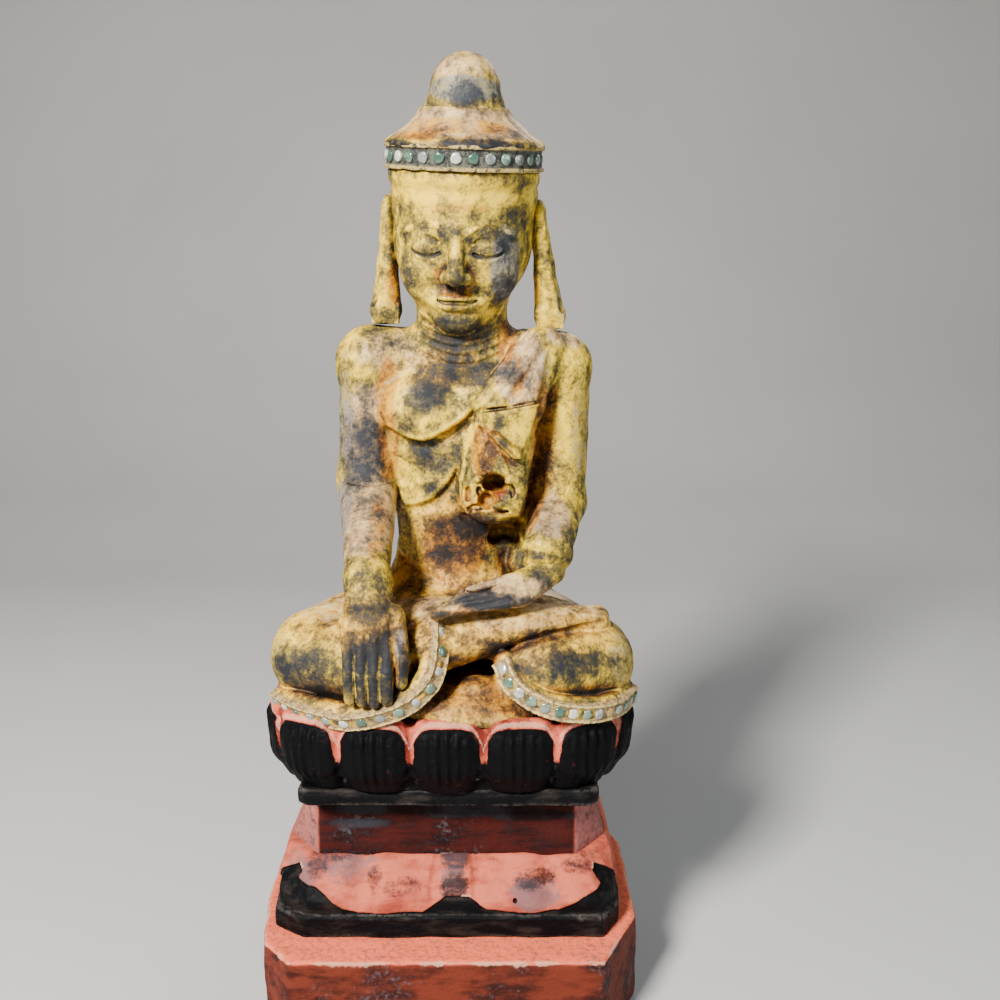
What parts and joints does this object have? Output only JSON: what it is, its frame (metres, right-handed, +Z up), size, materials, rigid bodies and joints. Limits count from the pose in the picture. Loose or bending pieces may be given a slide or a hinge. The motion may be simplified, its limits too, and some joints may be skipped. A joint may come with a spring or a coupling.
{
  "type": "buddha statue",
  "caption": "Carved, lacquered and gilded wooden seated figure with glass inlay, cross-legged on a lotus seat over a stepped pedestal; stands free on its flat foot.",
  "frame": {"origin": "middle of the pedestal's foot, on the surface it stands on", "axes": "+Z up, the figure faces -Y, +X towards the figure's left hand"},
  "size_m": [0.21, 0.168, 0.5066],
  "materials": {
    "red_lacquer": "satin, crackled red lacquer over wood",
    "salmon_lacquer": "worn satin salmon-red lacquer with a black band",
    "maroon_lacquer": "worn dark maroon lacquer with black streaks",
    "black_lacquer": "satin black lacquer, red in the grooves",
    "gilded_wood": "worn gold leaf over dark lacquer",
    "gilded_putty": "gilded lacquer putty",
    "bare_wood": "bare",
    "clear_glass": "polished, backed with dark lacquer",
    "green_glass": "polished, backed with dark lacquer",
    "amber_glass": "polished, backed with dark lacquer"
  },
  "bodies": {
    "root": {"base_block": "red_lacquer", "apron_tier": "salmon_lacquer", "neck_block": "maroon_lacquer", "seat_board": "black_lacquer", "lotus_seat": "black_lacquer", "pedestal_dowels": "bare_wood", "seat_dowels": "bare_wood", "figure_dowels": "bare_wood", "figure_block": "gilded_wood", "right_forearm": "gilded_wood", "right_forearm_peg": "bare_wood", "left_hand": "gilded_wood", "left_hand_peg": "bare_wood", "right_ear": "gilded_wood", "left_ear": "gilded_wood", "ear_pegs": "bare_wood", "headband_strip": "gilded_putty", "headband_glass_clear": "clear_glass", "headband_glass_green": "green_glass", "right_hem_strip": "gilded_putty", "right_hem_glass_clear": "clear_glass", "right_hem_glass_green": "green_glass", "left_hem_strip": "gilded_putty", "left_hem_glass_clear": "clear_glass", "left_hem_glass_green": "green_glass", "left_hem_glass_amber": "amber_glass"}
  },
  "joints": []
}
